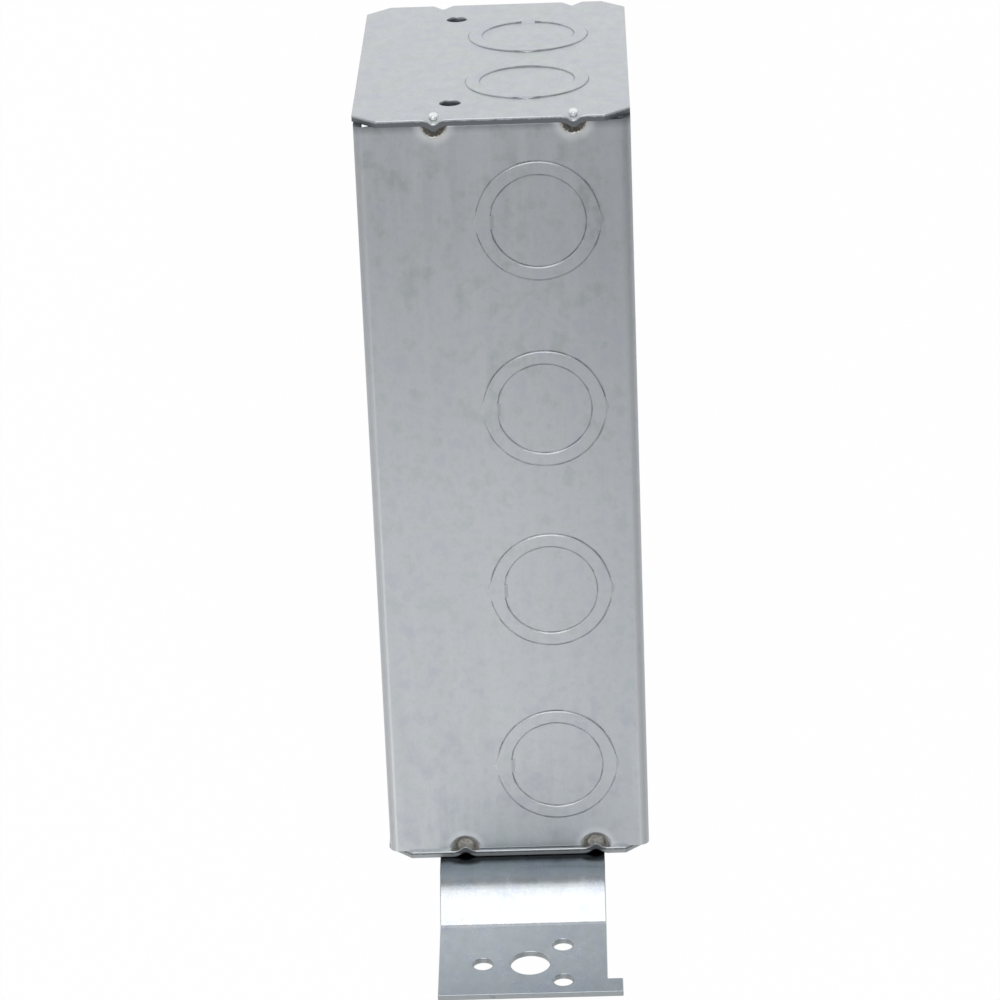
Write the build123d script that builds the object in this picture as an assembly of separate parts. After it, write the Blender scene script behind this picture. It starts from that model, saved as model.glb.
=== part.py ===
from build123d import *
import math
import os

# A welded sheet-steel masonry box for a row of wiring devices, with a stud bracket on one end.
# X runs along the row of devices, Y into the wall from the open front, and Z up.
# The origin is the middle of the open front, in the plane of the lips.
# All sizes are in millimetres and degrees.

# Sheet body: a back and two long walls folded from one strip, with a lip along each front edge
sheet = 1.6
gangs = 4
gang_pitch = 46.04
body_depth = 63.1
front_bend_inside = 0.5
back_bend_inside = 0.8
lip_reach = 9.5

# Device screws: one tapped hole in each lip for each gang
device_screw_spacing = 83.34
device_screw_inset = 5.05
device_screw_core = 2.9

# End plates: flat, wider than the folded body, with their corners cut off
plate_lap_side = 0.9
plate_lap_front = 0.4
plate_corner_cut = 5.6
plate_hole = 4.9
plate_hole_from_front = 21.95
plate_hole_from_edge = 12.6

# Welds: a vee pressed into the plate's edge drops into a cup pressed into the wall's end
weld_from_front = 18.4
weld_from_back = 12.95
vee_width = 4.3
vee_drop = 1.5
vee_clearance = 0.1
cup_mouth = 6.8
cup_floor = 3.8
cup_sink = 2.4
cup_wall = 1.2
nub_from_edge = 3.0
nub_foot = 1.9
nub_top = 1.2
nub_height = 0.5

# Knockouts: a disc inside a ring that the press has sheared and pushed slightly proud
disc_diameter = 22.2
ring_width = 3.2
ring_rise = 0.35
tie_width = 3.3
tie_run = 0.9
nib_width = 5.0
nib_reach = 0.8
wall_knockout_from_back = 21.7
wall_knockout_aside = 0.55
plate_knockout_from_back = 23.6
plate_knockout_pitch = 38.2

# Back: a raised seat for the earth screw, and four fixing holes
earth_seat_height = 3.0
earth_seat_top = 11.0
earth_seat_flare = 2.5
earth_screw_core = 4.1
fixing_hole = 4.8
fixing_hole_from_side = 22.7

# Stud bracket: a strap welded to the outside of one end plate, set off by two bends
strap_thickness = 1.5
strap_width = 40.0
strap_aside = 0.85
strap_clear_of_hole = 0.2
strap_bend_from_edge = 5.85
strap_set_off = 9.8
strap_ramp_angle = 40.8
strap_first_bend = 15.3
strap_second_bend = 1.5
strap_tilt = 6.0
strap_flange = 28.4
nail_tab_width = 5.4
nail_tab_reach = 3.6
stud_hole = 9.5
stud_hole_aside = 1.7
strap_hole = 4.8
strap_hole_from_end = 12.5
strap_hole_spread = 19.0
strap_hole_pitch = 14.6

half_length = gangs * gang_pitch / 2
half_height = device_screw_spacing / 2 + device_screw_inset
plate_half_height = half_height + plate_lap_side
plate_outside = half_length + sheet
plate_middle = (body_depth - plate_lap_front) / 2
gang_places = [(index - (gangs - 1) / 2) * gang_pitch for index in range(gangs)]
weld_depths = [weld_from_front, body_depth - weld_from_back]
vee_run = plate_lap_side + cup_sink - vee_clearance
strap_lap = plate_hole_from_edge - plate_hole / 2 - strap_clear_of_hole
ends_and_sides = (-1, 1)
through = 3 * sheet


def rounded_strip(depth_from, depth_to, height, front_radius, back_radius):
    """A rectangle in the body's cross-section, X being depth, with its own front and back radii."""
    box = Pos((depth_from + depth_to) / 2, 0) * Rectangle(depth_to - depth_from, height)
    box = fillet(box.vertices().sort_by(Axis.X)[:2], front_radius)
    return fillet(box.vertices().sort_by(Axis.X)[-2:], back_radius)


def body_section():
    """The folded strip seen along X: outside outline less the inside and the open front."""
    outside = rounded_strip(
        0, body_depth, 2 * half_height, front_bend_inside + sheet, back_bend_inside + sheet
    )
    inside = rounded_strip(
        sheet, body_depth - sheet, 2 * (half_height - sheet), front_bend_inside, back_bend_inside
    )
    mouth = Rectangle(2 * through, 2 * (half_height - lip_reach))
    return outside - inside - mouth


def knockout(seat):
    """What a knockout adds outside the sheet: its raised ring, with the metal still tied.

    The seat lies on the outer face, with X towards the tie that holds the disc. The metal
    slopes at that tie, and at the two pointed nibs where the ring is tied to the sheet.
    What stands on the sheet is rooted in it as deep as it rises.
    """
    disc_radius = disc_diameter / 2
    ring_radius = disc_radius + ring_width
    ring = Circle(ring_radius) - Circle(disc_radius)
    raised = extrude(ring, ring_rise, both=True)
    nib_foot = math.sqrt(ring_radius**2 - (nib_width / 2) ** 2)
    nib_plane = Plane(origin=(nib_foot, 0, 0), x_dir=(0, 1, 0), z_dir=(1, 0, 0))
    nib_tip = Vertex(ring_radius + nib_reach, 0, 0)
    nib = loft([nib_plane * Rectangle(nib_width, 2 * ring_rise), nib_tip], ruled=True)
    tie_back = disc_radius + ring_width / 2
    tie_side = Polyline(
        (disc_radius - tie_run, 0),
        (tie_back, -ring_rise),
        (tie_back, ring_rise),
        (disc_radius, ring_rise),
        close=True,
    )
    tie = extrude(Plane.XZ * make_face(tie_side), tie_width / 2, both=True)
    return seat * (raised + nib + Rot(0, 0, 180) * nib + tie)


def weld_cup(side, end, depth):
    """A cup pressed into the end of a long wall: the bulge on its inside, and its hollow."""
    from_mouth = (Align.NONE, Align.NONE, Align.MIN)
    mouth = Plane(
        origin=(end * half_length, depth, side * half_height),
        x_dir=(0, -end * side, 0),
        z_dir=(0, 0, -side),
    )
    bulge = Cone(
        cup_mouth / 2 + cup_wall,
        cup_floor / 2 + cup_wall,
        cup_sink + cup_wall,
        arc_size=180,
        align=from_mouth,
    )
    hollow = Cone(cup_mouth / 2, cup_floor / 2, cup_sink, align=from_mouth)
    return mouth * bulge, mouth * hollow


def earth_seat():
    """The raised seat in the back for the earth screw, and the hollow behind it."""
    upright = (Align.CENTER, Align.CENTER, Align.MIN)
    top_radius = earth_seat_top / 2
    foot_radius = top_radius + earth_seat_flare
    behind = Plane(origin=(0, body_depth, 0), x_dir=(1, 0, 0), z_dir=(0, -1, 0))
    raised = behind.offset(sheet) * Cone(foot_radius, top_radius, earth_seat_height, align=upright)
    hollow = behind * Cone(
        foot_radius - sheet / 2, top_radius - sheet / 2, earth_seat_height, align=upright
    )
    tapped = behind * Cylinder(earth_screw_core / 2, earth_seat_height + through, align=upright)
    return raised, hollow + tapped


def long_wall_details(side):
    """Knockouts, device screw holes, fixing holes and weld cups on one side of the body."""
    added = []
    removed = []
    for place in gang_places:
        centre = (place + wall_knockout_aside, body_depth - wall_knockout_from_back, side * half_height)
        added.append(knockout(Plane(origin=centre, x_dir=(0, -1, 0), z_dir=(0, 0, side))))
        screw = Plane(origin=(place, 0, side * device_screw_spacing / 2), z_dir=(0, 1, 0))
        removed.append(screw * Cylinder(device_screw_core / 2, through))
    for place in (gang_places[0], gang_places[-1]):
        height = side * (half_height - fixing_hole_from_side)
        hole = Plane(origin=(place, body_depth, height), z_dir=(0, 1, 0))
        removed.append(hole * Cylinder(fixing_hole / 2, through))
    for end in ends_and_sides:
        for depth in weld_depths:
            bulge, hollow = weld_cup(side, end, depth)
            added.append(bulge)
            removed.append(hollow)
    return added, removed


def folded_body():
    """Back, long walls and lips as one folded sheet."""
    body = extrude(Plane.YZ * body_section(), half_length, both=True)
    seat, seat_hollow = earth_seat()
    added = [seat]
    removed = [seat_hollow]
    for side in ends_and_sides:
        wall_added, wall_removed = long_wall_details(side)
        added += wall_added
        removed += wall_removed
    return body + added - removed


def vee(side, depth, face):
    """The tapering vee pressed into a plate's long edge, with its mouth starting at X = face."""
    edge = side * plate_half_height
    mouth = Plane(origin=(face, depth, edge), x_dir=(0, 1, 0), z_dir=(0, 0, 1))
    outline = make_face(Polyline((-vee_width / 2, 0), (0, vee_drop), (vee_width / 2, 0), close=True))
    return loft([mouth * outline, Vertex(face, depth, edge - side * vee_run)], ruled=True)


def weld_nub(depth):
    """The lump of metal squeezed up just inside the tip of a vee, on the outside of a plate."""
    place = Plane(origin=(plate_outside, depth, plate_half_height - nub_from_edge), z_dir=(1, 0, 0))
    upright = (Align.CENTER, Align.CENTER, Align.MIN)
    return place * Cone(nub_foot / 2, nub_top / 2, nub_height, align=upright)


def end_plate():
    """The plate on the +X end; the one on the other end is its mirror image."""
    outline = Pos(plate_middle, 0) * Rectangle(body_depth + plate_lap_front, 2 * plate_half_height)
    outline = chamfer(outline.vertices(), plate_corner_cut)
    plate = extrude(Plane.YZ.offset(half_length) * outline, sheet)
    added = []
    removed = []
    for side in ends_and_sides:
        for depth in weld_depths:
            added.append(vee(side, depth, half_length))
            removed.append(vee(side, depth, plate_outside))
        hole_height = side * (plate_half_height - plate_hole_from_edge)
        hole = Plane(origin=(half_length, plate_hole_from_front, hole_height), z_dir=(1, 0, 0))
        removed.append(hole * Cylinder(plate_hole / 2, through))
        seat = Plane(
            origin=(plate_outside, body_depth - plate_knockout_from_back, side * plate_knockout_pitch / 2),
            x_dir=(0, 0, side),
            z_dir=(1, 0, 0),
        )
        added.append(knockout(seat))
    return plate + added - removed


def end_plate_left():
    """The plate on the -X end, with weld nubs standing on it along its upper edge."""
    plate = end_plate()
    for depth in weld_depths:
        plate += weld_nub(depth)
    return mirror(plate, about=Plane.YZ)


def stud_bracket():
    """A strap with two bends, holes through its flange and a nailing tab at one corner."""
    side_view = Plane(
        origin=(plate_outside, plate_middle + strap_aside, plate_half_height),
        x_dir=(0, 0, 1),
        z_dir=(0, 1, 0),
    )
    ramp_run = strap_set_off / math.tan(math.radians(strap_ramp_angle))
    tilt = math.radians(strap_tilt)
    corner = Vector(strap_bend_from_edge + ramp_run, strap_set_off)
    free_end = corner + Vector(math.cos(tilt), math.sin(tilt)) * strap_flange
    line = FilletPolyline(
        (-strap_lap, 0),
        (strap_bend_from_edge, 0),
        corner,
        free_end,
        radius=[strap_first_bend, strap_second_bend],
    )
    strip = make_face(offset(line, strap_thickness, side=Side.LEFT))
    strap = extrude(side_view * strip, strap_width / 2, both=True)

    # The flange's inner face: X from its free end back to the bend, Y towards the open front
    flange = Plane(
        origin=side_view.from_local_coords(free_end),
        x_dir=(-math.sin(tilt), 0, -math.cos(tilt)),
        z_dir=(-math.cos(tilt), 0, math.sin(tilt)),
    )
    tab_edge = strap_width / 2 + nail_tab_reach
    from_corner = (Align.MIN, Align.MIN, Align.MAX)
    tab = Box(nail_tab_width, tab_edge, strap_thickness, align=from_corner)
    strap += flange * Pos(0, -tab_edge, 0) * tab
    holes = [
        (strap_hole_from_end, -stud_hole_aside, stud_hole),
        (strap_hole_from_end, strap_hole_spread / 2, strap_hole),
    ]
    for step in ends_and_sides:
        along = strap_hole_from_end + step * strap_hole_pitch / 2
        holes.append((along, -strap_hole_spread / 2, strap_hole))
    for along, across, diameter in holes:
        strap -= flange * Pos(along, across, 0) * Cylinder(diameter / 2, 3 * strap_thickness)
    return strap


parts = {
    "folded_body": folded_body(),
    "end_plate_left": end_plate_left(),
    "end_plate_right": end_plate(),
    "stud_bracket": stud_bracket(),
}

os.makedirs("parts", exist_ok=True)
for name, shape in parts.items():
    export_step(shape, f"parts/{name}.step")
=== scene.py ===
import math

import bmesh
import bpy
from mathutils import Matrix, Vector


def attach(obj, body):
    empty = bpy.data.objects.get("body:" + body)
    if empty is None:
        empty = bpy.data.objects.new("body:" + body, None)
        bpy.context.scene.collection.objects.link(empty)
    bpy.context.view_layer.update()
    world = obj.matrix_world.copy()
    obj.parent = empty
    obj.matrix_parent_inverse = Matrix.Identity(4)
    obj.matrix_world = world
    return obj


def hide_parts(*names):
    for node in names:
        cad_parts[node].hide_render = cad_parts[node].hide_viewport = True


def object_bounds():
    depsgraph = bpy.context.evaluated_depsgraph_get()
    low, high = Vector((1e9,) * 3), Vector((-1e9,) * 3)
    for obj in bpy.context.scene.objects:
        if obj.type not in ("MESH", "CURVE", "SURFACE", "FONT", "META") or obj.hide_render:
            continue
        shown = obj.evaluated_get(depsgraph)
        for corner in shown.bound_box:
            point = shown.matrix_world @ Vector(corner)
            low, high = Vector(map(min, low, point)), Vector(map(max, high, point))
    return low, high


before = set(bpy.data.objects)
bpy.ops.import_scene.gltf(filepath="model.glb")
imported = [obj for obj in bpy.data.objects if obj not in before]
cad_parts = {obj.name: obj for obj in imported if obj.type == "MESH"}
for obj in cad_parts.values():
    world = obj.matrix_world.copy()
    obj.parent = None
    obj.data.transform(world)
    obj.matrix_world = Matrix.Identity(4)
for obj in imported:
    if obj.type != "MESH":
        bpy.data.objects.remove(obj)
cad_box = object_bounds()

MM = 0.001

# Sizes of the box that its details and finishes follow, as in the CAD, in millimetres
SHEET = 1.6
HALF_LENGTH = 92.08
HALF_HEIGHT = 46.72
PLATE_HALF_HEIGHT = 47.62
PLATE_OUTSIDE = HALF_LENGTH + SHEET
GANG_PITCH = 46.04
DISC_RADIUS = 11.1
RING_RADIUS = 14.3
TIE_WIDTH = 3.3
NIB_WIDTH = 5.0
RING_RISE = 0.35
WALL_KNOCKOUT_ASIDE = 0.55
WALL_KNOCKOUT_DEPTH = 41.4
PLATE_KNOCKOUT_DEPTH = 39.5
PLATE_KNOCKOUT_HEIGHT = 19.1
WELD_DEPTHS = (18.4, 50.15)
CUP_MOUTH = 6.8
STRAP_TILT = math.radians(6.0)
STRAP_RAMP = math.radians(40.8)

# Axes that the broad faces of the plates and the long walls point along
PLATE_AXIS = 0
WALL_AXIS = 2

# Directions of the flat faces of the pressings
BOX_FLATS = ((1, 0, 0), (0, 1, 0), (0, 0, 1))
STRAP_FLATS = BOX_FLATS + (
    (-math.cos(STRAP_TILT), 0, math.sin(STRAP_TILT)),
    (-math.cos(STRAP_RAMP), 0, math.sin(STRAP_RAMP)),
    (math.sin(STRAP_TILT), 0, math.cos(STRAP_TILT)),
)

# Roundings that the press and the shears leave, in millimetres
CUP_ROLL = 0.5
VEE_ROLL = 0.75
RING_ROLL = 0.33
WALL_EDGE = 0.1
PLATE_EDGE = 0.27
STRAP_EDGE = 0.2

# Angles, in degrees, up to which the bends and the roundings are shaded smooth
BOX_CREASE = 32
STRAP_CREASE = 14

# Where the vees lie, beside the middle of a weld and in from the plate's edge, in millimetres
VEE_HALF_WIDTH = 2.2
VEE_REACH = 3.3

# Room that the roundings keep from the ties, the nibs and the rings, in millimetres
TIE_ROOM = 1.0
NIB_ROOM = 0.9
RING_ROOM = 1.0

# The share of their width that the cups keep at the end away from the bracket
FILLED_CUP = 0.78

# The slanted corner of the wall's cut end: where it starts and ends behind the front, and its depth
CORNER_FROM = 1.7
CORNER_TO = 5.4
CORNER_SLANT = 0.66

# The beads squeezed up beside the vees, in millimetres and as shares
BEAD_RADIUS = 1.1
BEAD_SHAPE = (0.8, 1.0, 1.2)
BEAD_STRETCH = 1.35
BEAD_HEIGHT = 1.7
BEAD_TAPER = 0.25
BEAD_FROM_EDGE = 2.6
BEAD_SUNK = 0.05

# How closely a vertex has to lie to a face, a circle or another vertex, in millimetres
ON_FACE = 0.02
NEAR_FACE = 0.05
ON_CIRCLE = 0.06
LOOSE = 0.002
SAME_PLACE = 0.001

# How closely faces have to lie in one plane, in degrees, and along a flat, as a cosine
SAME_PLANE = 0.5
ALONG_FLAT = 0.99998

# Patterns of the finishes: the size of a spot, in millimetres
CLOUD = 5.0
GRAIN = 0.6
LINE_WEAR = 4.0
TEAR = 1.4
BLOTCH = 0.9
SHADE_CLOUD = 3.0
RIPPLE = 0.8

# Patterns drawn out along the sheet, in spots to a millimetre; the scuffs are also turned
STREAKS = (0.03, 0.33, 0.22)
SCUFFS = (((0.4, 0.9, 0.3), (0.03, 1.1, 1.3)), ((1.2, 0.2, 1.1), (1.2, 0.025, 1.0)))

# Relief of the surfaces, in millimetres
BOX_RELIEF = 0.02
STRAP_RELIEF = 0.015
BEAD_RELIEF = 0.08

# Roughness of the surfaces, from their smoothest to their roughest
WALL_ROUGHNESS = (0.28, 0.40)
PLATE_ROUGHNESS = (0.34, 0.42)
STRAP_ROUGHNESS = (0.2, 0.29)
BEAD_ROUGHNESS = (0.22, 0.4)
TORN_ROUGHNESS = 0.55
STRETCHED_ROUGHNESS = 0.6
BURNT_ROUGHNESS = 0.6

# The sheared lines, in millimetres: how far they lie beside the disc's and the ring's edge, and
# how far from their middle they are full and gone; and how deep they look
LINE_ASIDE = 0.08
LINE_FULL = 0.05
LINE_GONE = 0.24
LINE_DEPTH = 0.6
LINE_TONE = "#74787B"

# The weld's heat spreads from a middle that lies CUP_SINK under the wall's face, in millimetres. The
# zinc is burnt up to BURNT_TO and whole from WHOLE_FROM, and a painted highlight on the slope around
# the cup runs from SLOPE_FROM to SLOPE_TO. At the cups that are filled further, all this ends
# FILLED_LESS sooner.
CUP_SINK = 1.2
BURNT_TO = 3.4
WHOLE_FROM = 4.7
SLOPE_FROM = 4.0
SLOPE_TO = 6.0
FILLED_LESS = 0.3
BURNT_STRENGTH = 0.9
SLOPE_HIGHLIGHT_STRENGTH = 0.36

# Depths between which painted shade darkens the walls towards their back, in millimetres, and how much
BACK_SHADE_FROM = 30.0
BACK_SHADE_TO = 58.0
BACK_SHADE_STRENGTH = 0.5

# How far on either side of the box's middle a finish changes from one end's to the other's
END_CHANGE = 10.0

# How burnished the sheared edges are, on the scale of cut_edge: the painted highlight that lifts the
# plate with the bracket above the other one, and what the strap has
BRACKET_PLATE_EDGE_HIGHLIGHT = 0.3
STRAP_BURNISHED = 0.78

# Heights between which the painted shade on the strap's inner side changes, and how ragged that is, in
# millimetres
STRAP_ROOT = 42.0
STRAP_TIP = 94.0
SHADE_RAGGED = 1.6

# Camera, fitted to the photograph: its lens, its place in millimetres and its directions
SENSOR_WIDTH = 36
LENS = 148.1395
CLIP_START = 0.05
CLIP_END = 30
CAMERA_PLACE = Vector((-367.743, 55.091, 941.149))
CAMERA_RIGHT = Vector((0.036722, 0.999244, -0.012774))
CAMERA_UP = Vector((-0.924109, 0.02909, -0.38102))
CAMERA_BACK = Vector((-0.380361, 0.025797, 0.924478))

# Soft rectangular lights: name, place and aim in metres, width, height, watts
PANELS = (
    ("end_softbox", (-1.5, -0.1, 1.04), (0, 0, 0), 1.4, 1.4, 9.8),
    ("top_panel", (1.25, -0.2, 1.85), (0, 0, 0), 2.0, 1.0, 4.8),
    ("overhead_panel", (-0.5, 0.0, 1.9), (0.1, 0, 0), 0.8, 0.8, 3.4),
    ("front_fill", (0.0, -1.5, 0.8), (0, 0, 0), 1.9, 1.2, 2.4),
)
ROOM_LIGHT = 0.49
PAPER_WHITE = 0.985
PAPER_SIZE = 4.0


def srgb(colour):
    """The linear RGBA of an sRGB hex colour."""
    levels = [int(colour[start : start + 2], 16) / 255 for start in (1, 3, 5)]
    return [
        level / 12.92 if level <= 0.04045 else ((level + 0.055) / 1.055) ** 2.4 for level in levels
    ] + [1.0]


def add(tree, kind, settings=None, feeds=None, stops=()):
    """Adds a node with its settings, and feeds its inputs with values or with other nodes' outputs.

    A colour ramp also gets its stops, each a position and an sRGB hex colour.
    """
    node = tree.nodes.new(kind)
    for name, value in (settings or {}).items():
        setattr(node, name, value)
    for name, value in (feeds or {}).items():
        if isinstance(value, bpy.types.NodeSocket):
            tree.links.new(value, node.inputs[name])
        else:
            node.inputs[name].default_value = value
    if stops:
        elements = node.color_ramp.elements
        for index in (0, -1):
            elements[index].position = stops[index][0]
            elements[index].color = srgb(stops[index][1])
        for position, colour in stops[1:-1]:
            elements.new(position).color = srgb(colour)
    return node


# Camera
def set_camera():
    """The camera, at the photograph's place and angle."""
    lens = bpy.data.cameras.new("camera")
    lens.sensor_width = SENSOR_WIDTH
    lens.lens = LENS
    lens.clip_start = CLIP_START
    lens.clip_end = CLIP_END
    camera = bpy.data.objects.new("camera", lens)
    turn = Matrix((CAMERA_RIGHT, CAMERA_UP, CAMERA_BACK)).transposed().to_4x4()
    camera.matrix_world = Matrix.Translation(CAMERA_PLACE * MM) @ turn
    bpy.context.scene.collection.objects.link(camera)
    bpy.context.scene.camera = camera


# Steel
def steel_coordinates(tree):
    """The place on the piece in millimetres, and its three parts."""
    place = add(tree, "ShaderNodeTexCoord").outputs["Object"]
    scaled = add(
        tree, "ShaderNodeVectorMath", {"operation": "SCALE"}, {0: place, "Scale": 1 / MM}
    ).outputs[0]
    parts = add(tree, "ShaderNodeSeparateXYZ", None, {0: scaled})
    return scaled, parts.outputs[0], parts.outputs[1], parts.outputs[2]


def knockout_lines(tree, colour, across, towards_tie, place):
    """Darkens the sheared lines of a knockout, broken where the disc and the ring are still tied.

    The lines are 0.1 mm wide on the real sheet. They are drawn a little wider, so that they show,
    and uneven, because they are worn.
    """
    centre = add(tree, "ShaderNodeCombineXYZ", None, {0: across, 1: towards_tie, 2: 0.0})
    reach = add(tree, "ShaderNodeVectorMath", {"operation": "LENGTH"}, {0: centre.outputs[0]})
    aside = add(tree, "ShaderNodeMath", {"operation": "ABSOLUTE"}, {0: across})
    lines = []
    for radius, gap, one_sided in (
        (DISC_RADIUS - LINE_ASIDE, TIE_WIDTH, True),
        (RING_RADIUS + LINE_ASIDE, NIB_WIDTH, False),
    ):
        off = add(
            tree, "ShaderNodeMath", {"operation": "SUBTRACT"}, {0: reach.outputs["Value"], 1: radius}
        )
        off = add(tree, "ShaderNodeMath", {"operation": "ABSOLUTE"}, {0: off.outputs[0]})
        line = add(
            tree,
            "ShaderNodeMapRange",
            None,
            {
                "Value": off.outputs[0],
                "From Min": LINE_FULL,
                "From Max": LINE_GONE,
                "To Min": LINE_DEPTH,
                "To Max": 0.0,
            },
        )
        free = add(
            tree, "ShaderNodeMath", {"operation": "GREATER_THAN"}, {0: aside.outputs[0], 1: gap / 2}
        )
        if one_sided:
            away = add(
                tree, "ShaderNodeMath", {"operation": "LESS_THAN"}, {0: towards_tie, 1: 0.0}
            )
            free = add(
                tree,
                "ShaderNodeMath",
                {"operation": "MAXIMUM"},
                {0: free.outputs[0], 1: away.outputs[0]},
            )
        broken = add(
            tree,
            "ShaderNodeMath",
            {"operation": "MULTIPLY"},
            {0: line.outputs["Result"], 1: free.outputs[0]},
        )
        lines.append(broken.outputs[0])
    both = add(tree, "ShaderNodeMath", {"operation": "MAXIMUM"}, {0: lines[0], 1: lines[1]})
    wear = add(
        tree, "ShaderNodeTexNoise", None, {"Vector": place, "Scale": 1 / LINE_WEAR, "Detail": 4.0}
    )
    depth = add(
        tree,
        "ShaderNodeMapRange",
        None,
        {
            "Value": wear.outputs["Fac"],
            "From Min": 0.42,
            "From Max": 0.6,
            "To Min": 0.35,
            "To Max": 1.1,
        },
    )
    uneven = add(
        tree,
        "ShaderNodeMath",
        {"operation": "MULTIPLY"},
        {0: both.outputs[0], 1: depth.outputs["Result"]},
    )
    return add(
        tree,
        "ShaderNodeMix",
        {"data_type": "RGBA"},
        {0: uneven.outputs[0], 6: colour, 7: srgb(LINE_TONE)},
    ).outputs[2]


def zinc_finish(name, tones, roughness):
    """Hot-dip galvanised sheet, skin-passed after dipping, so that the spangle is only a faint cloud.

    The eye sees a pale satin metal, slightly blue and slightly green in turn. The clouds are 5 mm
    across. The grain of the zinc is far below a tenth of a millimetre, and is drawn at 0.6 mm so
    that it shows. The rolls leave long faint streaks, and handling a few hair scuffs.
    """
    finish = bpy.data.materials.new(name)
    finish.use_nodes = True
    tree = finish.node_tree
    shader = tree.nodes["Principled BSDF"]
    shader.inputs["Metallic"].default_value = 1.0
    place, x, y, z = steel_coordinates(tree)
    clouds = add(
        tree,
        "ShaderNodeTexNoise",
        None,
        {"Vector": place, "Scale": 1 / CLOUD, "Detail": 5.0, "Roughness": 0.68},
    )
    ramp = add(
        tree,
        "ShaderNodeValToRGB",
        None,
        {"Fac": clouds.outputs["Fac"]},
        ((0.36, tones[0]), (0.5, tones[1]), (0.64, tones[2])),
    )
    grain = add(
        tree,
        "ShaderNodeTexNoise",
        None,
        {"Vector": place, "Scale": 1 / GRAIN, "Detail": 3.0, "Roughness": 0.65},
    )
    colour = add(
        tree,
        "ShaderNodeMix",
        {"data_type": "RGBA", "blend_type": "SOFT_LIGHT"},
        {0: 0.3, 6: ramp.outputs["Color"], 7: grain.outputs["Fac"]},
    ).outputs[2]
    drawn_out = add(tree, "ShaderNodeMapping", None, {"Vector": place, "Scale": STREAKS})
    streaks = add(
        tree,
        "ShaderNodeTexNoise",
        None,
        {"Vector": drawn_out.outputs[0], "Scale": 1.0, "Detail": 5.0, "Roughness": 0.7},
    )
    half_clouds = add(
        tree, "ShaderNodeMath", {"operation": "MULTIPLY"}, {0: clouds.outputs["Fac"], 1: 0.5}
    )
    worn = add(
        tree,
        "ShaderNodeMath",
        {"operation": "MULTIPLY_ADD"},
        {0: streaks.outputs["Fac"], 1: 0.5, 2: half_clouds.outputs[0]},
    )
    rough = add(
        tree,
        "ShaderNodeMapRange",
        None,
        {
            "Value": worn.outputs[0],
            "From Min": 0.36,
            "From Max": 0.64,
            "To Min": roughness[0],
            "To Max": roughness[1],
        },
    ).outputs["Result"]
    colour = add(
        tree,
        "ShaderNodeMix",
        {"data_type": "RGBA", "blend_type": "SOFT_LIGHT"},
        {0: 0.5, 6: colour, 7: streaks.outputs["Fac"]},
    ).outputs[2]
    for turn, stretch in SCUFFS:
        lain = add(
            tree, "ShaderNodeMapping", None, {"Vector": place, "Rotation": turn, "Scale": stretch}
        )
        hairs = add(
            tree, "ShaderNodeTexNoise", None, {"Vector": lain.outputs[0], "Scale": 1.0, "Detail": 1.0}
        )
        scuffs = add(
            tree,
            "ShaderNodeMapRange",
            None,
            {"Value": hairs.outputs["Fac"], "From Min": 0.74, "From Max": 0.8, "To Max": 0.2},
        )
        colour = add(
            tree,
            "ShaderNodeMix",
            {"data_type": "RGBA"},
            {0: scuffs.outputs["Result"], 6: colour, 7: srgb("#E4E6E8")},
        ).outputs[2]
    return finish, tree, shader, place, (x, y, z), colour, rough, grain.outputs["Fac"]


def cut_edge(tree, colour, rough, from_burr, place):
    """Darkens the sheared edges: a burnished band where the blade entered, then torn metal.

    The broad faces of the piece point along X; from_burr is 0 on the torn side of the sheet and 1
    on the side where the blade entered.
    """
    normal = add(tree, "ShaderNodeNewGeometry").outputs["True Normal"]
    parts = add(tree, "ShaderNodeSeparateXYZ", None, {0: normal})
    facing = add(
        tree, "ShaderNodeMath", {"operation": "ABSOLUTE"}, {0: parts.outputs[PLATE_AXIS]}
    )
    edge = add(
        tree,
        "ShaderNodeMapRange",
        None,
        {"Value": facing.outputs[0], "From Min": 0.36, "From Max": 0.12},
    )
    tear = add(
        tree,
        "ShaderNodeTexNoise",
        None,
        {"Vector": place, "Scale": 1 / TEAR, "Detail": 3.0, "Roughness": 0.7},
    )
    wavy = add(
        tree,
        "ShaderNodeMath",
        {"operation": "MULTIPLY_ADD"},
        {0: tear.outputs["Fac"], 1: 0.5, 2: from_burr},
    )
    bands = add(
        tree,
        "ShaderNodeValToRGB",
        None,
        {"Fac": wavy.outputs[0]},
        ((0.82, "#73777B"), (0.98, "#B2B7BA")),
    )
    colour = add(
        tree,
        "ShaderNodeMix",
        {"data_type": "RGBA"},
        {0: edge.outputs["Result"], 6: colour, 7: bands.outputs["Color"]},
    ).outputs[2]
    rough = add(
        tree,
        "ShaderNodeMix",
        {"data_type": "FLOAT"},
        {0: edge.outputs["Result"], 2: rough, 3: TORN_ROUGHNESS},
    ).outputs[0]
    return colour, rough


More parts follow.
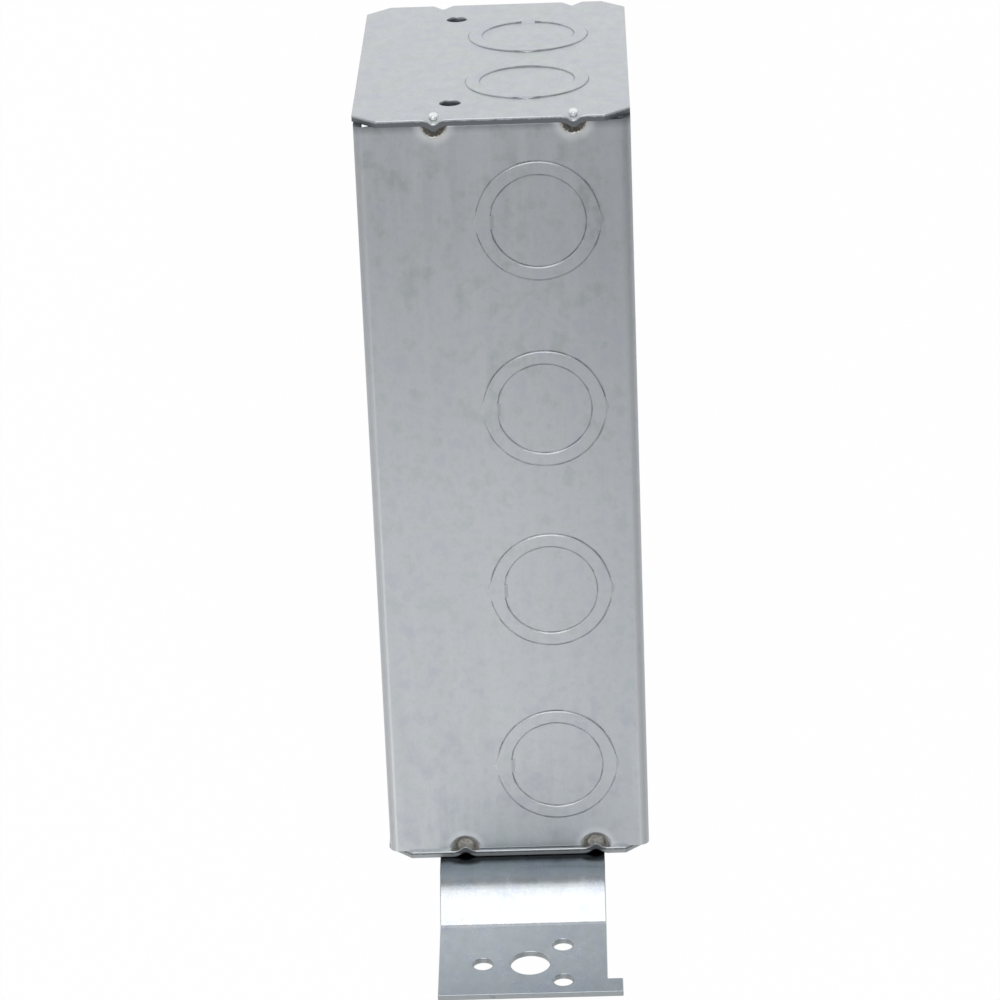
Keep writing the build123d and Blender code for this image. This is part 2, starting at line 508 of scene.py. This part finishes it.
def weld_heat(tree, colour, rough, x, y, z, place):
    """Greys and browns the zinc where the weld's heat burnt it, in the vees and their cups.

    The cups that are filled further are burnt over a smaller circle. Around each cup, where the
    wall is drawn down into it, a painted highlight makes the zinc paler.
    """
    along = add(tree, "ShaderNodeMath", {"operation": "ABSOLUTE"}, {0: x})
    along = add(
        tree, "ShaderNodeMath", {"operation": "SUBTRACT"}, {0: along.outputs[0], 1: HALF_LENGTH}
    )
    height = add(tree, "ShaderNodeMath", {"operation": "ABSOLUTE"}, {0: z})
    height = add(
        tree,
        "ShaderNodeMath",
        {"operation": "SUBTRACT"},
        {0: height.outputs[0], 1: HALF_HEIGHT - CUP_SINK},
    )
    reaches = []
    for depth in WELD_DEPTHS:
        aside = add(tree, "ShaderNodeMath", {"operation": "SUBTRACT"}, {0: y, 1: depth})
        point = add(
            tree,
            "ShaderNodeCombineXYZ",
            None,
            {0: along.outputs[0], 1: aside.outputs[0], 2: height.outputs[0]},
        )
        reaches.append(
            add(tree, "ShaderNodeVectorMath", {"operation": "LENGTH"}, {0: point.outputs[0]})
        )
    reach = add(
        tree,
        "ShaderNodeMath",
        {"operation": "MINIMUM"},
        {0: reaches[0].outputs["Value"], 1: reaches[1].outputs["Value"]},
    )
    filled = add(
        tree,
        "ShaderNodeMapRange",
        None,
        {"Value": x, "From Min": END_CHANGE, "From Max": -END_CHANGE, "To Max": FILLED_LESS},
    )
    reach = add(
        tree,
        "ShaderNodeMath",
        {"operation": "ADD"},
        {0: reach.outputs[0], 1: filled.outputs["Result"]},
    )
    blotch = add(
        tree, "ShaderNodeTexNoise", None, {"Vector": place, "Scale": 1 / BLOTCH, "Detail": 4.0}
    )
    ragged = add(
        tree,
        "ShaderNodeMath",
        {"operation": "ADD"},
        {0: blotch.outputs["Fac"], 1: reach.outputs[0]},
    )
    heat = add(
        tree,
        "ShaderNodeMapRange",
        None,
        {
            "Value": ragged.outputs[0],
            "From Min": WHOLE_FROM,
            "From Max": BURNT_TO,
            "To Max": BURNT_STRENGTH,
        },
    )
    burnt = add(
        tree,
        "ShaderNodeValToRGB",
        None,
        {"Fac": blotch.outputs["Fac"]},
        ((0.4, "#B2ADA4"), (0.6, "#DEDAD2")),
    )
    colour = add(
        tree,
        "ShaderNodeMix",
        {"data_type": "RGBA"},
        {0: heat.outputs["Result"], 6: colour, 7: burnt.outputs["Color"]},
    ).outputs[2]
    # Painted highlight on the slope around each cup, where the wall dips into it.
    drawn = add(
        tree,
        "ShaderNodeMapRange",
        {"interpolation_type": "SMOOTHSTEP"},
        {
            "Value": reach.outputs[0],
            "From Min": SLOPE_TO,
            "From Max": SLOPE_FROM,
            "To Max": SLOPE_HIGHLIGHT_STRENGTH,
        },
    )
    around = add(
        tree,
        "ShaderNodeMapRange",
        None,
        {"Value": reach.outputs[0], "From Min": BURNT_TO, "From Max": SLOPE_FROM},
    )
    drawn = add(
        tree,
        "ShaderNodeMath",
        {"operation": "MULTIPLY"},
        {0: drawn.outputs["Result"], 1: around.outputs["Result"]},
    )
    colour = add(
        tree,
        "ShaderNodeMix",
        {"data_type": "RGBA"},
        {0: drawn.outputs[0], 6: colour, 7: srgb("#F1F3F4")},
    ).outputs[2]
    rough = add(
        tree,
        "ShaderNodeMix",
        {"data_type": "FLOAT"},
        {0: heat.outputs["Result"], 2: rough, 3: BURNT_ROUGHNESS},
    ).outputs[0]
    return colour, rough


def finish_shader(tree, shader, colour, rough, height, depth):
    """Joins the colour, the roughness and the height of the surface to the shader."""
    bump = add(
        tree, "ShaderNodeBump", None, {"Strength": 0.5, "Distance": depth * MM, "Height": height}
    )
    tree.links.new(colour, shader.inputs["Base Color"])
    tree.links.new(rough, shader.inputs["Roughness"])
    tree.links.new(bump.outputs["Normal"], shader.inputs["Normal"])


def wall_steel():
    """Galvanised sheet of the folded body, with painted shade that darkens it towards its ends and its
    back.

    Folding stretches the zinc over the bends, so that it looks matt there. A painted sheen makes it
    paler where the sheet starts to bend, more so towards the end with the bracket.
    """
    made = zinc_finish("galvanised_steel_walls", ("#E8EDED", "#F4F6F8", "#EDF0F6"), WALL_ROUGHNESS)
    finish, tree, shader, place, (x, y, z), colour, rough, grain = made
    shifted = add(
        tree,
        "ShaderNodeMath",
        {"operation": "ADD"},
        {0: x, 1: 2 * GANG_PITCH - WALL_KNOCKOUT_ASIDE},
    )
    in_gang = add(
        tree, "ShaderNodeMath", {"operation": "MODULO"}, {0: shifted.outputs[0], 1: GANG_PITCH}
    )
    across = add(
        tree, "ShaderNodeMath", {"operation": "SUBTRACT"}, {0: in_gang.outputs[0], 1: GANG_PITCH / 2}
    )
    towards = add(
        tree, "ShaderNodeMath", {"operation": "SUBTRACT"}, {0: WALL_KNOCKOUT_DEPTH, 1: y}
    )
    colour = knockout_lines(tree, colour, across.outputs[0], towards.outputs[0], place)
    # Painted shade along the length: the walls' colour is darkened in steps along them, most over the
    # last 2 mm beside the plate away from the bracket.
    along = add(
        tree,
        "ShaderNodeMapRange",
        None,
        {"Value": x, "From Min": -HALF_LENGTH, "From Max": HALF_LENGTH},
    )
    painted_shade_along = add(
        tree,
        "ShaderNodeValToRGB",
        None,
        {"Fac": along.outputs["Result"]},
        (
            (0.0, "#8F9396"),
            (0.011, "#C0C2C4"),
            (0.12, "#BEC0C2"),
            (0.3, "#C5C7C9"),
            (0.51, "#CDCFD1"),
            (0.75, "#CBCDCF"),
            (1.0, "#C8CACC"),
        ),
    )
    colour = add(
        tree,
        "ShaderNodeMix",
        {"data_type": "RGBA", "blend_type": "MULTIPLY"},
        {0: 1.0, 6: colour, 7: painted_shade_along.outputs["Color"]},
    ).outputs[2]
    # Painted shade: the walls' colour darkens towards their back.
    painted_back_shade = add(
        tree,
        "ShaderNodeMapRange",
        None,
        {
            "Value": y,
            "From Min": BACK_SHADE_FROM,
            "From Max": BACK_SHADE_TO,
            "To Max": BACK_SHADE_STRENGTH,
        },
    )
    colour = add(
        tree,
        "ShaderNodeMix",
        {"data_type": "RGBA", "blend_type": "MULTIPLY"},
        {0: painted_back_shade.outputs["Result"], 6: colour, 7: srgb("#E6E8EA")},
    ).outputs[2]
    normal = add(tree, "ShaderNodeNewGeometry").outputs["Normal"]
    facing = add(tree, "ShaderNodeSeparateXYZ", None, {0: normal})
    sideways = add(
        tree, "ShaderNodeMath", {"operation": "ABSOLUTE"}, {0: facing.outputs[1]}
    )
    bent = add(
        tree,
        "ShaderNodeValToRGB",
        None,
        {"Fac": sideways.outputs[0]},
        ((0.2, "#000000"), (0.55, "#FFFFFF"), (0.985, "#FFFFFF"), (0.999, "#000000")),
    )
    # Painted highlight: the colour is made paler where the sheet starts to bend, and more towards the
    # bracket's end.
    bend_sheen_ramp = add(
        tree,
        "ShaderNodeValToRGB",
        None,
        {"Fac": sideways.outputs[0]},
        (
            (0.05, "#000000"),
            (0.25, "#E0E0E0"),
            (0.45, "#D0D0D0"),
            (0.65, "#A0A0A0"),
            (0.985, "#808080"),
            (0.999, "#000000"),
        ),
    )
    by_bracket = add(
        tree,
        "ShaderNodeMapRange",
        None,
        {
            "Value": x,
            "From Min": -HALF_LENGTH,
            "From Max": HALF_LENGTH,
            "To Min": 0.1,
            "To Max": 0.95,
        },
    )
    painted_bend_sheen = add(
        tree,
        "ShaderNodeMath",
        {"operation": "MULTIPLY"},
        {0: by_bracket.outputs["Result"], 1: bend_sheen_ramp.outputs["Color"]},
    )
    colour = add(
        tree,
        "ShaderNodeMix",
        {"data_type": "RGBA"},
        {0: painted_bend_sheen.outputs[0], 6: colour, 7: srgb("#F0F2F4")},
    ).outputs[2]
    rough = add(
        tree,
        "ShaderNodeMix",
        {"data_type": "FLOAT"},
        {0: bent.outputs["Color"], 2: rough, 3: STRETCHED_ROUGHNESS},
    ).outputs[0]
    colour, rough = weld_heat(tree, colour, rough, x, y, z, place)
    finish_shader(tree, shader, colour, rough, grain, BOX_RELIEF)
    return finish


def plate_steel():
    """Galvanised sheet of the end plates, a little more matt than the walls.

    The blade entered from outside, so the burnished band is on the outer side of their sheared
    edges. On the plate that carries the bracket, a painted highlight widens that band.
    """
    made = zinc_finish("galvanised_steel_plates", ("#C4CBCA", "#C7CACE", "#C5C9D1"), PLATE_ROUGHNESS)
    finish, tree, shader, place, (x, y, z), colour, rough, grain = made
    across = add(
        tree, "ShaderNodeMath", {"operation": "SUBTRACT"}, {0: y, 1: PLATE_KNOCKOUT_DEPTH}
    )
    height = add(tree, "ShaderNodeMath", {"operation": "ABSOLUTE"}, {0: z})
    towards = add(
        tree,
        "ShaderNodeMath",
        {"operation": "SUBTRACT"},
        {0: height.outputs[0], 1: PLATE_KNOCKOUT_HEIGHT},
    )
    colour = knockout_lines(tree, colour, across.outputs[0], towards.outputs[0], place)
    length = add(tree, "ShaderNodeMath", {"operation": "ABSOLUTE"}, {0: x})
    from_inside = add(
        tree,
        "ShaderNodeMapRange",
        None,
        {"Value": length.outputs[0], "From Min": HALF_LENGTH, "From Max": PLATE_OUTSIDE},
    )
    # Painted highlight: the sheared edges of the plate with the bracket get a wider light band than
    # the other plate's.
    by_bracket = add(
        tree,
        "ShaderNodeMapRange",
        None,
        {
            "Value": x,
            "From Min": -END_CHANGE,
            "From Max": END_CHANGE,
            "To Max": BRACKET_PLATE_EDGE_HIGHLIGHT,
        },
    )
    from_burr = add(
        tree,
        "ShaderNodeMath",
        {"operation": "ADD"},
        {0: from_inside.outputs["Result"], 1: by_bracket.outputs["Result"]},
    )
    colour, rough = cut_edge(tree, colour, rough, from_burr.outputs[0], place)
    finish_shader(tree, shader, colour, rough, grain, BOX_RELIEF)
    return finish


def strap_steel():
    """Galvanised strap, rolled smoother than the box, so that it reflects more clearly.

    Its inner side has painted shade: dark at the root, beside the welds, and a little darker at its
    free end.
    """
    made = zinc_finish("galvanised_steel_strap", ("#C1C8C8", "#C6C9CC", "#C2C7CF"), STRAP_ROUGHNESS)
    finish, tree, shader, place, (_, _, z), colour, rough, grain = made
    colour, rough = cut_edge(tree, colour, rough, STRAP_BURNISHED, place)
    # Painted shade on the inner side: a dark band at the root beside the welds, clear further up, and
    # a little darker at the free end.
    cloud = add(
        tree, "ShaderNodeTexNoise", None, {"Vector": place, "Scale": 1 / SHADE_CLOUD, "Detail": 3.0}
    )
    height = add(
        tree,
        "ShaderNodeMath",
        {"operation": "MULTIPLY_ADD"},
        {0: cloud.outputs["Fac"], 1: SHADE_RAGGED, 2: z},
    )
    up_strap = add(
        tree,
        "ShaderNodeMapRange",
        None,
        {"Value": height.outputs[0], "From Min": STRAP_ROOT, "From Max": STRAP_TIP},
    )
    painted_strap_shade = add(
        tree,
        "ShaderNodeValToRGB",
        None,
        {"Fac": up_strap.outputs["Result"]},
        (
            (0.05, "#FFFFFF"),
            (0.105, "#34383B"),
            (0.136, "#34383B"),
            (0.149, "#444A4E"),
            (0.163, "#5C6267"),
            (0.177, "#7E8489"),
            (0.191, "#9AA0A5"),
            (0.22, "#A6ACB1"),
            (0.25, "#B6BCC1"),
            (0.354, "#FFFFFF"),
            (0.63, "#FAFAFA"),
            (0.908, "#E4E6E8"),
            (1.0, "#DDDFE1"),
        ),
    )
    normal = add(tree, "ShaderNodeNewGeometry").outputs["Normal"]
    facing = add(tree, "ShaderNodeSeparateXYZ", None, {0: normal})
    inner_side = add(
        tree,
        "ShaderNodeMapRange",
        None,
        {"Value": facing.outputs[0], "From Min": 0.1, "From Max": -0.1},
    )
    colour = add(
        tree,
        "ShaderNodeMix",
        {"data_type": "RGBA", "blend_type": "MULTIPLY"},
        {0: inner_side.outputs["Result"], 6: colour, 7: painted_strap_shade.outputs["Color"]},
    ).outputs[2]
    finish_shader(tree, shader, colour, rough, grain, STRAP_RELIEF)
    return finish


def weld_bead():
    """Fused steel and zinc, cast bright and smooth by the weld's heat, with a ripple of 0.8 mm."""
    finish = bpy.data.materials.new("weld_bead")
    finish.use_nodes = True
    tree = finish.node_tree
    shader = tree.nodes["Principled BSDF"]
    shader.inputs["Metallic"].default_value = 1.0
    place = steel_coordinates(tree)[0]
    ripple = add(
        tree, "ShaderNodeTexNoise", None, {"Vector": place, "Scale": 1 / RIPPLE, "Detail": 2.0}
    ).outputs["Fac"]
    tone = add(
        tree,
        "ShaderNodeValToRGB",
        None,
        {"Fac": ripple},
        ((0.35, "#DDE0E2"), (0.6, "#F8F9FA")),
    )
    rough = add(
        tree,
        "ShaderNodeMapRange",
        None,
        {"Value": ripple, "To Min": BEAD_ROUGHNESS[0], "To Max": BEAD_ROUGHNESS[1]},
    ).outputs["Result"]
    finish_shader(tree, shader, tone.outputs["Color"], rough, ripple, BEAD_RELIEF)
    return finish


# Sheet-metal pieces
def merged_copy(node, mirrored=False):
    """A working copy of a CAD node: its loose triangles merged, and flat runs made single faces."""
    work = bmesh.new()
    work.from_mesh(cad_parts[node].data)
    bmesh.ops.remove_doubles(work, verts=work.verts, dist=LOOSE * MM)
    bmesh.ops.dissolve_limit(
        work, angle_limit=math.radians(SAME_PLANE), verts=work.verts[:], edges=work.edges[:]
    )
    if mirrored:
        bmesh.ops.scale(work, verts=work.verts, vec=(-1, 1, 1))
        bmesh.ops.reverse_faces(work, faces=work.faces)
    return work


def bends_by(edge, degrees):
    """Whether the two faces beside an edge meet at an angle of at least so many degrees."""
    return len(edge.link_faces) == 2 and edge.calc_face_angle() >= math.radians(degrees)


def round_edges(work, edges, radius, segments):
    """Rounds edges of a working copy by a radius in millimetres."""
    bmesh.ops.bevel(
        work,
        geom=edges,
        offset=radius * MM,
        offset_type="OFFSET",
        segments=segments,
        profile=0.5,
        affect="EDGES",
        material=-1,
    )


def round_vees(work):
    """Rounds the pressed vees, which a press draws over a blunt punch, inside and out."""
    ridges = []
    for edge in work.edges:
        if not bends_by(edge, 8):
            continue
        middle = (edge.verts[0].co + edge.verts[1].co) / 2 / MM
        near = min(abs(middle.y - depth) for depth in WELD_DEPTHS) < VEE_HALF_WIDTH
        on_flanks = all(abs(face.normal.z) < 0.8 for face in edge.link_faces)
        if near and on_flanks and abs(middle.z) > PLATE_HALF_HEIGHT - VEE_REACH:
            ridges.append(edge)
    round_edges(work, ridges, VEE_ROLL, segments=5)


def round_cups(work):
    """Rounds the mouths of the weld cups, where the wall is drawn down into them.

    On the end away from the bracket the weld has filled the cups further, and they look smaller.
    """
    mouths = []
    for edge in work.edges:
        if not bends_by(edge, 20):
            continue
        reaches = []
        for vert in edge.verts:
            place = vert.co / MM
            reaches += [
                math.hypot(abs(place.x) - HALF_LENGTH, place.y - depth) for depth in WELD_DEPTHS
            ]
        on_wall = all(abs(abs(vert.co.z) / MM - HALF_HEIGHT) < ON_FACE for vert in edge.verts)
        on_circle = sum(abs(reach - CUP_MOUTH / 2) < ON_CIRCLE for reach in reaches) == 2
        if on_wall and on_circle:
            mouths.append(edge)
    for vert in {vert for edge in mouths for vert in edge.verts if vert.co.x < 0}:
        depth = min(WELD_DEPTHS, key=lambda weld: abs(vert.co.y / MM - weld))
        vert.co.x = (-HALF_LENGTH + (vert.co.x / MM + HALF_LENGTH) * FILLED_CUP) * MM
        vert.co.y = (depth + (vert.co.y / MM - depth) * FILLED_CUP) * MM
    round_edges(work, mouths, CUP_ROLL, segments=6)


def knockout_place(vert, axis):
    """How far a vertex is from its knockout's centre, and how far aside of the line of its ties."""
    place = vert.co / MM
    if axis == WALL_AXIS:
        index = round((place.x - WALL_KNOCKOUT_ASIDE) / GANG_PITCH - 0.5) + 0.5
        aside = place.x - index * GANG_PITCH - WALL_KNOCKOUT_ASIDE
        along = place.y - WALL_KNOCKOUT_DEPTH
    else:
        aside = place.y - PLATE_KNOCKOUT_DEPTH
        along = abs(place.z) - PLATE_KNOCKOUT_HEIGHT
    return math.hypot(aside, along), abs(aside)


def round_rings(work, axis, height):
    """Rounds the raised edges of the knockout rings, which the punch rolls over as it shears them.

    The rounding ends short of the ties and the nibs, where the sheet isn't sheared.
    """
    rims = []
    for edge in work.edges:
        if not bends_by(edge, 40):
            continue
        if any(abs(abs(vert.co[axis]) / MM - height) > ON_FACE for vert in edge.verts):
            continue
        places = [knockout_place(vert, axis) for vert in edge.verts]
        on_disc = all(abs(reach - DISC_RADIUS) < ON_CIRCLE for reach, _ in places)
        on_ring = all(abs(reach - RING_RADIUS) < ON_CIRCLE for reach, _ in places)
        clear = TIE_WIDTH / 2 + TIE_ROOM if on_disc else NIB_WIDTH / 2 + NIB_ROOM
        if (on_disc or on_ring) and all(aside > clear for _, aside in places):
            rims.append(edge)
    round_edges(work, rims, RING_ROLL, segments=3)


def cut_back_corner(work):
    """Slants the cut end of the long wall beside the front bend, where the shears break out."""
    bmesh.ops.bisect_plane(
        work,
        geom=work.verts[:] + work.edges[:] + work.faces[:],
        plane_co=(0, CORNER_TO * MM, 0),
        plane_no=(0, 1, 0),
    )
    for vert in work.verts:
        place = vert.co / MM
        at_end = abs(place.x + HALF_LENGTH) < ON_FACE
        inside = abs(abs(place.z) - (HALF_HEIGHT - SHEET)) < ON_FACE
        if at_end and inside and CORNER_FROM < place.y < CORNER_TO - 0.1:
            vert.co.x += CORNER_SLANT * MM


def add_object(name, work, finish):
    """Makes an object of a working copy, in one finish."""
    mesh = bpy.data.meshes.new(name)
    work.to_mesh(mesh)
    work.free()
    mesh.materials.append(finish)
    made = bpy.data.objects.new(name, mesh)
    bpy.context.scene.collection.objects.link(made)
    return made


def show_piece(work, name, node, finish, edge_radius, flats, crease, axis=None):
    """Makes a piece of a working copy, with its sheared edges slightly rounded, in its node's place.

    The knockouts, on the faces along the axis, keep their own edges, and so do the ends of the
    long walls and the inner side of the plate away from the bracket. Faces that point along one
    of the flats are shaded flat, and bends and roundings smooth, up to the crease angle in degrees.
    """
    outside = {PLATE_AXIS: PLATE_OUTSIDE - NEAR_FACE, WALL_AXIS: HALF_HEIGHT - NEAR_FACE}
    sharp = []
    for edge in work.edges:
        if not bends_by(edge, 25) or not edge.is_convex:
            continue
        lengths = [vert.co.x / MM for vert in edge.verts]
        if axis == WALL_AXIS and all(abs(length) > HALF_LENGTH - ON_FACE for length in lengths):
            continue
        if axis == PLATE_AXIS and all(-HALF_LENGTH - ON_FACE < length < 0 for length in lengths):
            continue
        if axis is not None and all(
            abs(vert.co[axis]) / MM > outside[axis]
            and knockout_place(vert, axis)[0] < RING_RADIUS + RING_ROOM
            for vert in edge.verts
        ):
            continue
        sharp.append(edge)
    round_edges(work, sharp, edge_radius, segments=3)
    bmesh.ops.remove_doubles(work, verts=work.verts, dist=SAME_PLACE * MM)
    work.normal_update()
    for edge in work.edges:
        edge.smooth = not bends_by(edge, crease)
    for face in work.faces:
        face.smooth = all(abs(face.normal.dot(Vector(flat))) < ALONG_FLAT for flat in flats)
    piece = add_object(name, work, finish)
    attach(piece, "root")
    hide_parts(node)


def show_bead(name, depth, finish):
    """A bead of metal squeezed up beside a vee: a low dome that runs down towards the edge."""
    work = bmesh.new()
    bmesh.ops.create_uvsphere(work, u_segments=32, v_segments=20, radius=BEAD_RADIUS * MM)
    bmesh.ops.scale(work, verts=work.verts, vec=BEAD_SHAPE)
    for vert in work.verts:
        if vert.co.z > 0:
            vert.co.z *= BEAD_STRETCH
            vert.co.y *= 1 - BEAD_TAPER * vert.co.z / (BEAD_HEIGHT * MM)
    centre = Vector((BEAD_SUNK - PLATE_OUTSIDE, depth, PLATE_HALF_HEIGHT - BEAD_FROM_EDGE)) * MM
    bmesh.ops.translate(work, verts=work.verts, vec=centre)
    for face in work.faces:
        face.smooth = True
    piece = add_object(name, work, finish)
    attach(piece, "root")


# Floor and light
def set_floor():
    """A sweep of white paper: plain white to the eye and in reflections, matt to the light."""
    work = bmesh.new()
    bmesh.ops.create_grid(work, x_segments=1, y_segments=1, size=PAPER_SIZE)
    bmesh.ops.translate(work, verts=work.verts, vec=(0, 0, cad_box[0][2]))
    paper = bpy.data.materials.new("white_paper_sweep")
    paper.use_nodes = True
    tree = paper.node_tree
    tree.nodes.clear()
    path = add(tree, "ShaderNodeLightPath")
    seen = add(
        tree,
        "ShaderNodeMath",
        {"operation": "MAXIMUM"},
        {0: path.outputs["Is Camera Ray"], 1: path.outputs["Is Glossy Ray"]},
    )
    seen = add(
        tree,
        "ShaderNodeMath",
        {"operation": "MAXIMUM"},
        {0: seen.outputs[0], 1: path.outputs["Is Transmission Ray"]},
    )
    share = add(
        tree, "ShaderNodeMath", {"operation": "MULTIPLY"}, {0: seen.outputs[0], 1: PAPER_WHITE}
    )
    matt = add(tree, "ShaderNodeBsdfDiffuse", None, {"Color": srgb("#F2F2F2")})
    white = add(tree, "ShaderNodeEmission", None, {"Color": srgb("#FFFFFF"), "Strength": 1.0})
    mixed = add(
        tree,
        "ShaderNodeMixShader",
        None,
        {0: share.outputs[0], 1: matt.outputs[0], 2: white.outputs[0]},
    )
    add(tree, "ShaderNodeOutputMaterial", None, {"Surface": mixed.outputs[0]})
    add_object("floor", work, paper)


def set_world():
    """A pale room around the object, plain white to the camera."""
    world = bpy.data.worlds.new("studio")
    world.use_nodes = True
    bpy.context.scene.world = world
    tree = world.node_tree
    tree.nodes.clear()
    path = add(tree, "ShaderNodeLightPath")
    room = add(
        tree, "ShaderNodeBackground", None, {"Color": srgb("#FFFFFF"), "Strength": ROOM_LIGHT}
    )
    white = add(tree, "ShaderNodeBackground", None, {"Color": srgb("#FFFFFF"), "Strength": 1.0})
    mixed = add(
        tree,
        "ShaderNodeMixShader",
        None,
        {0: path.outputs["Is Camera Ray"], 1: room.outputs[0], 2: white.outputs[0]},
    )
    add(tree, "ShaderNodeOutputWorld", None, {"Surface": mixed.outputs[0]})


def add_panel(name, place, aim, width, height, watts):
    """A soft rectangular light at a place, facing a point."""
    light = bpy.data.lights.new(name, "AREA")
    light.shape = "RECTANGLE"
    light.size = width
    light.size_y = height
    light.energy = watts
    lamp = bpy.data.objects.new(name, light)
    lamp.location = Vector(place)
    lamp.rotation_euler = (Vector(aim) - Vector(place)).to_track_quat("-Z", "Y").to_euler()
    bpy.context.scene.collection.objects.link(lamp)


bpy.context.scene.view_settings.view_transform = "Standard"
set_camera()
set_world()
set_floor()
for panel in PANELS:
    add_panel(*panel)

walls = wall_steel()
plates = plate_steel()
strap = strap_steel()
bead = weld_bead()

# The folded body, with its cups and rings
wrap = merged_copy("folded_body")
round_cups(wrap)
round_rings(wrap, WALL_AXIS, HALF_HEIGHT + RING_RISE)
cut_back_corner(wrap)
show_piece(
    wrap,
    "wrap",
    "folded_body",
    walls,
    WALL_EDGE,
    BOX_FLATS,
    BOX_CREASE,
    WALL_AXIS,
)

# The end plates: both came from the same tool, so one mesh is mirrored for the other end
for node, name, mirrored in (
    ("end_plate_left", "plate_left", True),
    ("end_plate_right", "plate_right", False),
):
    plate = merged_copy("end_plate_right", mirrored)
    round_vees(plate)
    round_rings(plate, PLATE_AXIS, PLATE_OUTSIDE + RING_RISE)
    show_piece(
        plate,
        name,
        node,
        plates,
        PLATE_EDGE,
        BOX_FLATS,
        BOX_CREASE,
        PLATE_AXIS,
    )
for name, depth in zip(("weld_nub_front", "weld_nub_back"), WELD_DEPTHS):
    show_bead(name, depth, bead)

# The bracket
show_piece(
    merged_copy("stud_bracket"),
    "strap",
    "stud_bracket",
    strap,
    STRAP_EDGE,
    STRAP_FLATS,
    STRAP_CREASE,
)
